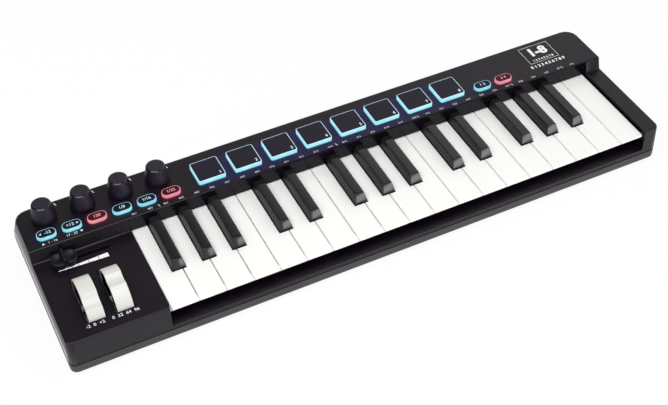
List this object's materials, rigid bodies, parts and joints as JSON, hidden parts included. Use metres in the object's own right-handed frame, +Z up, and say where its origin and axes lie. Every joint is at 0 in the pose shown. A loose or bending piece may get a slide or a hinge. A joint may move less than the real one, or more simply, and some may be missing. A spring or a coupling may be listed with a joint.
{
  "type": "mini midi keyboard",
  "caption": "Black mini MIDI keyboard with white and black keys, pitch and modulation wheels, a fader, knobs, drum pads and lit buttons on a raised back panel",
  "frame": {"origin": "bottom centre of the bounding box, on the plane the four feet stand on", "axes": "+X along the keys to the player's right, +Y from the player to the back, +Z up"},
  "size_m": [0.4332, 0.1296, 0.0522],
  "materials": {
    "case_black": "fine matte black moulded plastic",
    "tray_grey": "finely textured black moulded plastic",
    "key_white": "smooth white plastic",
    "key_black": "smooth black plastic",
    "wheel_white": "satin off-white plastic",
    "fader_black": "satin black plastic",
    "knob_black": "soft-touch black",
    "pad_black": "silicone rubber with a lit rim",
    "button_navy": "silicone rubber with a rim lit cyan",
    "button_red": "silicone rubber with a rim lit pink",
    "frame_grey": "moulded plastic",
    "board_green": "circuit board with solder mask"
  },
  "bodies": {
    "case": {"top_case": "case_black", "bottom_case": "tray_grey", "key_frame": "frame_grey", "contact_board": "board_green", "panel_board": "board_green"},
    "pitch_wheel": {"pitch_wheel": "wheel_white"},
    "modulation_wheel": {"modulation_wheel": "wheel_white"},
    "fader_cap": {"fader_cap": "fader_black"},
    "knob_1": {"knob_1": "knob_black"},
    "knob_2": {"knob_2": "knob_black"},
    "knob_3": {"knob_3": "knob_black"},
    "knob_4": {"knob_4": "knob_black"},
    "pad_1": {"pad_1": "pad_black"},
    "pad_2": {"pad_2": "pad_black"},
    "pad_3": {"pad_3": "pad_black"},
    "pad_4": {"pad_4": "pad_black"},
    "pad_5": {"pad_5": "pad_black"},
    "pad_6": {"pad_6": "pad_black"},
    "pad_7": {"pad_7": "pad_black"},
    "pad_8": {"pad_8": "pad_black"},
    "button_1": {"button_1": "button_navy"},
    "button_2": {"button_2": "button_navy"},
    "button_3": {"button_3": "button_red"},
    "button_4": {"button_4": "button_navy"},
    "button_5": {"button_5": "button_navy"},
    "button_6": {"button_6": "button_red"},
    "button_7": {"button_7": "button_navy"},
    "button_8": {"button_8": "button_red"},
    "key_01_f": {"key_01_f": "key_white"},
    "key_02_f_sharp": {"key_02_f_sharp": "key_black"},
    "key_03_g": {"key_03_g": "key_white"},
    "key_04_g_sharp": {"key_04_g_sharp": "key_black"},
    "key_05_a": {"key_05_a": "key_white"},
    "key_06_a_sharp": {"key_06_a_sharp": "key_black"},
    "key_07_b": {"key_07_b": "key_white"},
    "key_08_c": {"key_08_c": "key_white"},
    "key_09_c_sharp": {"key_09_c_sharp": "key_black"},
    "key_10_d": {"key_10_d": "key_white"},
    "key_11_d_sharp": {"key_11_d_sharp": "key_black"},
    "key_12_e": {"key_12_e": "key_white"},
    "key_13_f": {"key_13_f": "key_white"},
    "key_14_f_sharp": {"key_14_f_sharp": "key_black"},
    "key_15_g": {"key_15_g": "key_white"},
    "key_16_g_sharp": {"key_16_g_sharp": "key_black"},
    "key_17_a": {"key_17_a": "key_white"},
    "key_18_a_sharp": {"key_18_a_sharp": "key_black"},
    "key_19_b": {"key_19_b": "key_white"},
    "key_20_c": {"key_20_c": "key_white"},
    "key_21_c_sharp": {"key_21_c_sharp": "key_black"},
    "key_22_d": {"key_22_d": "key_white"},
    "key_23_d_sharp": {"key_23_d_sharp": "key_black"},
    "key_24_e": {"key_24_e": "key_white"},
    "key_25_f": {"key_25_f": "key_white"},
    "key_26_f_sharp": {"key_26_f_sharp": "key_black"},
    "key_27_g": {"key_27_g": "key_white"},
    "key_28_g_sharp": {"key_28_g_sharp": "key_black"},
    "key_29_a": {"key_29_a": "key_white"},
    "key_30_a_sharp": {"key_30_a_sharp": "key_black"},
    "key_31_b": {"key_31_b": "key_white"},
    "key_32_c": {"key_32_c": "key_white"}
  },
  "joints": [
    {"name": "pitch_wheel_turn", "type": "hinge", "parent": "case", "child": "pitch_wheel", "pos_m": [-0.19232, -0.03435, 0.0223], "axis": [1, 0, 0], "range_deg": [-30, 30], "stiffness_Nm_per_rad": 0.05},
    {"name": "modulation_wheel_turn", "type": "hinge", "parent": "case", "child": "modulation_wheel", "pos_m": [-0.17392, -0.03435, 0.0223], "axis": [1, 0, 0], "range_deg": [-30, 25]},
    {"name": "fader_slide", "type": "slide", "parent": "case", "child": "fader_cap", "axis": [1, 0, 0], "range_m": [-0.0025, 0.0275]},
    {"name": "knob_1_turn", "type": "hinge", "parent": "case", "child": "knob_1", "pos_m": [-0.19748, 0.03665, 0.0394], "axis": [0, 0, 1], "range_deg": [-150, 150]},
    {"name": "knob_2_turn", "type": "hinge", "parent": "case", "child": "knob_2", "pos_m": [-0.17147, 0.03665, 0.0394], "axis": [0, 0, 1], "range_deg": [-150, 150]},
    {"name": "knob_3_turn", "type": "hinge", "parent": "case", "child": "knob_3", "pos_m": [-0.14547, 0.03665, 0.0394], "axis": [0, 0, 1], "range_deg": [-150, 150]},
    {"name": "knob_4_turn", "type": "hinge", "parent": "case", "child": "knob_4", "pos_m": [-0.11947, 0.03665, 0.0394], "axis": [0, 0, 1], "range_deg": [-150, 150]},
    {"name": "pad_1_press", "type": "slide", "parent": "case", "child": "pad_1", "axis": [0, 0, -1], "range_m": [0, 0.001], "stiffness_N_per_m": 800, "springref_m": -0.001},
    {"name": "pad_2_press", "type": "slide", "parent": "case", "child": "pad_2", "axis": [0, 0, -1], "range_m": [0, 0.001], "stiffness_N_per_m": 800, "springref_m": -0.001},
    {"name": "pad_3_press", "type": "slide", "parent": "case", "child": "pad_3", "axis": [0, 0, -1], "range_m": [0, 0.001], "stiffness_N_per_m": 800, "springref_m": -0.001},
    {"name": "pad_4_press", "type": "slide", "parent": "case", "child": "pad_4", "axis": [0, 0, -1], "range_m": [0, 0.001], "stiffness_N_per_m": 800, "springref_m": -0.001},
    {"name": "pad_5_press", "type": "slide", "parent": "case", "child": "pad_5", "axis": [0, 0, -1], "range_m": [0, 0.001], "stiffness_N_per_m": 800, "springref_m": -0.001},
    {"name": "pad_6_press", "type": "slide", "parent": "case", "child": "pad_6", "axis": [0, 0, -1], "range_m": [0, 0.001], "stiffness_N_per_m": 800, "springref_m": -0.001},
    {"name": "pad_7_press", "type": "slide", "parent": "case", "child": "pad_7", "axis": [0, 0, -1], "range_m": [0, 0.001], "stiffness_N_per_m": 800, "springref_m": -0.001},
    {"name": "pad_8_press", "type": "slide", "parent": "case", "child": "pad_8", "axis": [0, 0, -1], "range_m": [0, 0.001], "stiffness_N_per_m": 800, "springref_m": -0.001},
    {"name": "button_1_press", "type": "slide", "parent": "case", "child": "button_1", "axis": [0, 0, -1], "range_m": [0, 0.0012], "stiffness_N_per_m": 800, "springref_m": -0.001},
    {"name": "button_2_press", "type": "slide", "parent": "case", "child": "button_2", "axis": [0, 0, -1], "range_m": [0, 0.0012], "stiffness_N_per_m": 800, "springref_m": -0.001},
    {"name": "button_3_press", "type": "slide", "parent": "case", "child": "button_3", "axis": [0, 0, -1], "range_m": [0, 0.0012], "stiffness_N_per_m": 800, "springref_m": -0.001},
    {"name": "button_4_press", "type": "slide", "parent": "case", "child": "button_4", "axis": [0, 0, -1], "range_m": [0, 0.0012], "stiffness_N_per_m": 800, "springref_m": -0.001},
    {"name": "button_5_press", "type": "slide", "parent": "case", "child": "button_5", "axis": [0, 0, -1], "range_m": [0, 0.0012], "stiffness_N_per_m": 800, "springref_m": -0.001},
    {"name": "button_6_press", "type": "slide", "parent": "case", "child": "button_6", "axis": [0, 0, -1], "range_m": [0, 0.0012], "stiffness_N_per_m": 800, "springref_m": -0.001},
    {"name": "button_7_press", "type": "slide", "parent": "case", "child": "button_7", "axis": [0, 0, -1], "range_m": [0, 0.0012], "stiffness_N_per_m": 800, "springref_m": -0.001},
    {"name": "button_8_press", "type": "slide", "parent": "case", "child": "button_8", "axis": [0, 0, -1], "range_m": [0, 0.0012], "stiffness_N_per_m": 800, "springref_m": -0.001},
    {"name": "key_01_f_press", "type": "hinge", "parent": "case", "child": "key_01_f", "pos_m": [-0.13937, 0.04025, 0.0223], "axis": [1, 0, 0], "range_deg": [0, 1.95], "stiffness_Nm_per_rad": 0.5, "springref_deg": -5.73},
    {"name": "key_02_f_sharp_press", "type": "hinge", "parent": "case", "child": "key_02_f_sharp", "pos_m": [-0.13242, 0.04025, 0.0223], "axis": [1, 0, 0], "range_deg": [0, 1.95], "stiffness_Nm_per_rad": 0.5, "springref_deg": -5.73},
    {"name": "key_03_g_press", "type": "hinge", "parent": "case", "child": "key_03_g", "pos_m": [-0.12087, 0.04025, 0.0223], "axis": [1, 0, 0], "range_deg": [0, 1.95], "stiffness_Nm_per_rad": 0.5, "springref_deg": -5.73},
    {"name": "key_04_g_sharp_press", "type": "hinge", "parent": "case", "child": "key_04_g_sharp", "pos_m": [-0.11163, 0.04025, 0.0223], "axis": [1, 0, 0], "range_deg": [0, 1.95], "stiffness_Nm_per_rad": 0.5, "springref_deg": -5.73},
    {"name": "key_05_a_press", "type": "hinge", "parent": "case", "child": "key_05_a", "pos_m": [-0.10237, 0.04025, 0.0223], "axis": [1, 0, 0], "range_deg": [0, 1.95], "stiffness_Nm_per_rad": 0.5, "springref_deg": -5.73},
    {"name": "key_06_a_sharp_press", "type": "hinge", "parent": "case", "child": "key_06_a_sharp", "pos_m": [-0.09083, 0.04025, 0.0223], "axis": [1, 0, 0], "range_deg": [0, 1.95], "stiffness_Nm_per_rad": 0.5, "springref_deg": -5.73},
    {"name": "key_07_b_press", "type": "hinge", "parent": "case", "child": "key_07_b", "pos_m": [-0.08388, 0.04025, 0.0223], "axis": [1, 0, 0], "range_deg": [0, 1.95], "stiffness_Nm_per_rad": 0.5, "springref_deg": -5.73},
    {"name": "key_08_c_press", "type": "hinge", "parent": "case", "child": "key_08_c", "pos_m": [-0.06538, 0.04025, 0.0223], "axis": [1, 0, 0], "range_deg": [0, 1.95], "stiffness_Nm_per_rad": 0.5, "springref_deg": -5.73},
    {"name": "key_09_c_sharp_press", "type": "hinge", "parent": "case", "child": "key_09_c_sharp", "pos_m": [-0.05772, 0.04025, 0.0223], "axis": [1, 0, 0], "range_deg": [0, 1.95], "stiffness_Nm_per_rad": 0.5, "springref_deg": -5.73},
    {"name": "key_10_d_press", "type": "hinge", "parent": "case", "child": "key_10_d", "pos_m": [-0.04688, 0.04025, 0.0223], "axis": [1, 0, 0], "range_deg": [0, 1.95], "stiffness_Nm_per_rad": 0.5, "springref_deg": -5.73},
    {"name": "key_11_d_sharp_press", "type": "hinge", "parent": "case", "child": "key_11_d_sharp", "pos_m": [-0.03603, 0.04025, 0.0223], "axis": [1, 0, 0], "range_deg": [0, 1.95], "stiffness_Nm_per_rad": 0.5, "springref_deg": -5.73},
    {"name": "key_12_e_press", "type": "hinge", "parent": "case", "child": "key_12_e", "pos_m": [-0.02838, 0.04025, 0.0223], "axis": [1, 0, 0], "range_deg": [0, 1.95], "stiffness_Nm_per_rad": 0.5, "springref_deg": -5.73},
    {"name": "key_13_f_press", "type": "hinge", "parent": "case", "child": "key_13_f", "pos_m": [-0.00988, 0.04025, 0.0223], "axis": [1, 0, 0], "range_deg": [0, 1.95], "stiffness_Nm_per_rad": 0.5, "springref_deg": -5.73},
    {"name": "key_14_f_sharp_press", "type": "hinge", "parent": "case", "child": "key_14_f_sharp", "pos_m": [-0.00293, 0.04025, 0.0223], "axis": [1, 0, 0], "range_deg": [0, 1.95], "stiffness_Nm_per_rad": 0.5, "springref_deg": -5.73},
    {"name": "key_15_g_press", "type": "hinge", "parent": "case", "child": "key_15_g", "pos_m": [0.00863, 0.04025, 0.0223], "axis": [1, 0, 0], "range_deg": [0, 1.95], "stiffness_Nm_per_rad": 0.5, "springref_deg": -5.73},
    {"name": "key_16_g_sharp_press", "type": "hinge", "parent": "case", "child": "key_16_g_sharp", "pos_m": [0.01787, 0.04025, 0.0223], "axis": [1, 0, 0], "range_deg": [0, 1.95], "stiffness_Nm_per_rad": 0.5, "springref_deg": -5.73},
    {"name": "key_17_a_press", "type": "hinge", "parent": "case", "child": "key_17_a", "pos_m": [0.02712, 0.04025, 0.0223], "axis": [1, 0, 0], "range_deg": [0, 1.95], "stiffness_Nm_per_rad": 0.5, "springref_deg": -5.73},
    {"name": "key_18_a_sharp_press", "type": "hinge", "parent": "case", "child": "key_18_a_sharp", "pos_m": [0.03868, 0.04025, 0.0223], "axis": [1, 0, 0], "range_deg": [0, 1.95], "stiffness_Nm_per_rad": 0.5, "springref_deg": -5.73},
    {"name": "key_19_b_press", "type": "hinge", "parent": "case", "child": "key_19_b", "pos_m": [0.04562, 0.04025, 0.0223], "axis": [1, 0, 0], "range_deg": [0, 1.95], "stiffness_Nm_per_rad": 0.5, "springref_deg": -5.73},
    {"name": "key_20_c_press", "type": "hinge", "parent": "case", "child": "key_20_c", "pos_m": [0.06413, 0.04025, 0.0223], "axis": [1, 0, 0], "range_deg": [0, 1.95], "stiffness_Nm_per_rad": 0.5, "springref_deg": -5.73},
    {"name": "key_21_c_sharp_press", "type": "hinge", "parent": "case", "child": "key_21_c_sharp", "pos_m": [0.07178, 0.04025, 0.0223], "axis": [1, 0, 0], "range_deg": [0, 1.95], "stiffness_Nm_per_rad": 0.5, "springref_deg": -5.73},
    {"name": "key_22_d_press", "type": "hinge", "parent": "case", "child": "key_22_d", "pos_m": [0.08263, 0.04025, 0.0223], "axis": [1, 0, 0], "range_deg": [0, 1.95], "stiffness_Nm_per_rad": 0.5, "springref_deg": -5.73},
    {"name": "key_23_d_sharp_press", "type": "hinge", "parent": "case", "child": "key_23_d_sharp", "pos_m": [0.09348, 0.04025, 0.0223], "axis": [1, 0, 0], "range_deg": [0, 1.95], "stiffness_Nm_per_rad": 0.5, "springref_deg": -5.73},
    {"name": "key_24_e_press", "type": "hinge", "parent": "case", "child": "key_24_e", "pos_m": [0.10113, 0.04025, 0.0223], "axis": [1, 0, 0], "range_deg": [0, 1.95], "stiffness_Nm_per_rad": 0.5, "springref_deg": -5.73},
    {"name": "key_25_f_press", "type": "hinge", "parent": "case", "child": "key_25_f", "pos_m": [0.11962, 0.04025, 0.0223], "axis": [1, 0, 0], "range_deg": [0, 1.95], "stiffness_Nm_per_rad": 0.5, "springref_deg": -5.73},
    {"name": "key_26_f_sharp_press", "type": "hinge", "parent": "case", "child": "key_26_f_sharp", "pos_m": [0.12657, 0.04025, 0.0223], "axis": [1, 0, 0], "range_deg": [0, 1.95], "stiffness_Nm_per_rad": 0.5, "springref_deg": -5.73},
    {"name": "key_27_g_press", "type": "hinge", "parent": "case", "child": "key_27_g", "pos_m": [0.13812, 0.04025, 0.0223], "axis": [1, 0, 0], "range_deg": [0, 1.95], "stiffness_Nm_per_rad": 0.5, "springref_deg": -5.73},
    {"name": "key_28_g_sharp_press", "type": "hinge", "parent": "case", "child": "key_28_g_sharp", "pos_m": [0.14738, 0.04025, 0.0223], "axis": [1, 0, 0], "range_deg": [0, 1.95], "stiffness_Nm_per_rad": 0.5, "springref_deg": -5.73},
    {"name": "key_29_a_press", "type": "hinge", "parent": "case", "child": "key_29_a", "pos_m": [0.15662, 0.04025, 0.0223], "axis": [1, 0, 0], "range_deg": [0, 1.95], "stiffness_Nm_per_rad": 0.5, "springref_deg": -5.73},
    {"name": "key_30_a_sharp_press", "type": "hinge", "parent": "case", "child": "key_30_a_sharp", "pos_m": [0.16817, 0.04025, 0.0223], "axis": [1, 0, 0], "range_deg": [0, 1.95], "stiffness_Nm_per_rad": 0.5, "springref_deg": -5.73},
    {"name": "key_31_b_press", "type": "hinge", "parent": "case", "child": "key_31_b", "pos_m": [0.17513, 0.04025, 0.0223], "axis": [1, 0, 0], "range_deg": [0, 1.95], "stiffness_Nm_per_rad": 0.5, "springref_deg": -5.73},
    {"name": "key_32_c_press", "type": "hinge", "parent": "case", "child": "key_32_c", "pos_m": [0.19362, 0.04025, 0.0223], "axis": [1, 0, 0], "range_deg": [0, 1.95], "stiffness_Nm_per_rad": 0.5, "springref_deg": -5.73}
  ]
}
